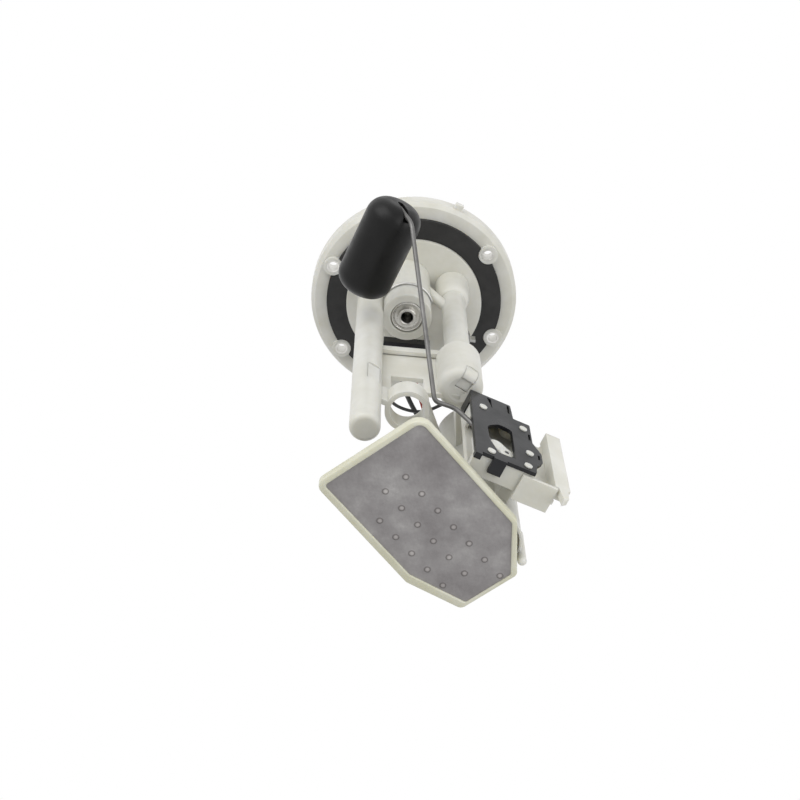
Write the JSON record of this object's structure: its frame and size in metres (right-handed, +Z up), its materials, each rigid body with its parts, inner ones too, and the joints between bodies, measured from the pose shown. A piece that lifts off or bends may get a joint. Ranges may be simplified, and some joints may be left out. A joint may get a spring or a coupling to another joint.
{
  "type": "in-tank fuel pump module",
  "caption": "Hanging fuel pump module: bolted flange, two posts, carrier with pump sleeve, bottom strainer, pressure regulator and level sender with float.",
  "frame": {"origin": "centre of the bolt circle on the underside of the flange", "axes": "+Z up out of the tank through the flange, X along the plate between the two posts, -Y towards the level sender and the float"},
  "size_m": [0.143, 0.1678, 0.262],
  "materials": {
    "white_moulding": "natural acetal moulding, satin, slightly translucent",
    "bushing_steel": "zinc plated steel",
    "gasket_rubber": "moulded black rubber, matte",
    "contact_metal": "tin plated brass",
    "black_moulding": "black moulding, satin",
    "regulator_steel": "plated deep drawn steel",
    "spring_steel": "drawn wire, plain",
    "casing_steel": "plated steel tube",
    "pump_aluminium": "die cast, machined faces",
    "impeller_moulding": "phenolic, fine ground",
    "bearing_bronze": "sintered bronze",
    "winding_copper": "enamelled copper",
    "magnet_ferrite": "sintered ferrite, dull",
    "brush_carbon": "pressed carbon, dull",
    "hose_rubber": "extruded fuel hose, matte",
    "cream_moulding": "natural nylon, satin, yellowish",
    "mesh_nylon": "grey woven nylon filter cloth",
    "card_ceramic": "alumina with printed resistor",
    "arm_steel": "drawn stainless wire",
    "float_rubber": "moulded closed cell rubber, satin",
    "lead_black": "insulated wire, satin",
    "lead_red": "insulated wire, satin",
    "lead_grey": "insulated wire, satin"
  },
  "bodies": {
    "module": {"flange": "white_moulding", "bolt_bushings": "bushing_steel", "gasket": "gasket_rubber", "connector_pins": "contact_metal", "harness_plug": "black_moulding", "regulator_can": "regulator_steel", "regulator_shell": "regulator_steel", "regulator_snout": "regulator_steel", "regulator_diaphragm": "gasket_rubber", "regulator_spring": "spring_steel", "regulator_ring": "gasket_rubber", "regulator_seal": "gasket_rubber", "regulator_cap": "white_moulding", "regulator_clip": "spring_steel", "carrier": "white_moulding", "pump_isolators": "gasket_rubber", "pump_casing": "casing_steel", "pump_inlet_body": "pump_aluminium", "pump_chamber": "pump_aluminium", "lower_bearing": "bearing_bronze", "upper_bearing": "bearing_bronze", "motor_magnets": "magnet_ferrite", "brushes": "brush_carbon", "brush_springs": "spring_steel", "pump_terminals": "contact_metal", "pump_end_cap": "black_moulding", "check_valve_spring": "spring_steel", "pump_plug": "black_moulding", "outlet_hose": "hose_rubber", "hose_clamps": "spring_steel", "strainer_frame": "cream_moulding", "strainer_mesh": "mesh_nylon", "strainer_core": "cream_moulding", "sender_body": "white_moulding", "sender_cover": "black_moulding", "resistor_card": "card_ceramic", "sender_contacts": "contact_metal", "lead_pump_negative": "lead_black", "lead_pump_positive": "lead_red", "lead_sender_signal": "lead_black", "lead_sender_ground": "lead_grey"},
    "level_arm": {"float_arm": "arm_steel", "float": "float_rubber", "rotor": "white_moulding", "wiper": "contact_metal"},
    "motor_rotor": {"motor_shaft": "spring_steel", "armature_core": "casing_steel", "armature_windings": "winding_copper", "commutator": "winding_copper", "impeller": "impeller_moulding"},
    "relief_valve": {"regulator_valve": "regulator_steel"},
    "outlet_valve": {"check_valve": "bearing_bronze"}
  },
  "joints": [
    {"name": "float_swing", "type": "hinge", "parent": "module", "child": "level_arm", "pos_m": [0.04447, -0.00549, -0.2093], "axis": [0.3289, -0.9444, 0], "range_deg": [0, 58]},
    {"name": "motor_spin", "type": "hinge", "parent": "module", "child": "motor_rotor", "pos_m": [0.0365, 0.0366, -0.16], "axis": [0, 0, 1], "continuous": true},
    {"name": "relief_lift", "type": "slide", "parent": "module", "child": "relief_valve", "axis": [0, 0, 1], "range_m": [0, 0.0008], "stiffness_N_per_m": 20000, "springref_m": -0.001, "deforming": ["regulator_spring", "regulator_diaphragm"]},
    {"name": "outlet_lift", "type": "slide", "parent": "module", "child": "outlet_valve", "axis": [0, 0, 1], "range_m": [0, 0.0015], "stiffness_N_per_m": 500, "springref_m": -0.001, "deforming": ["check_valve_spring"]}
  ]
}
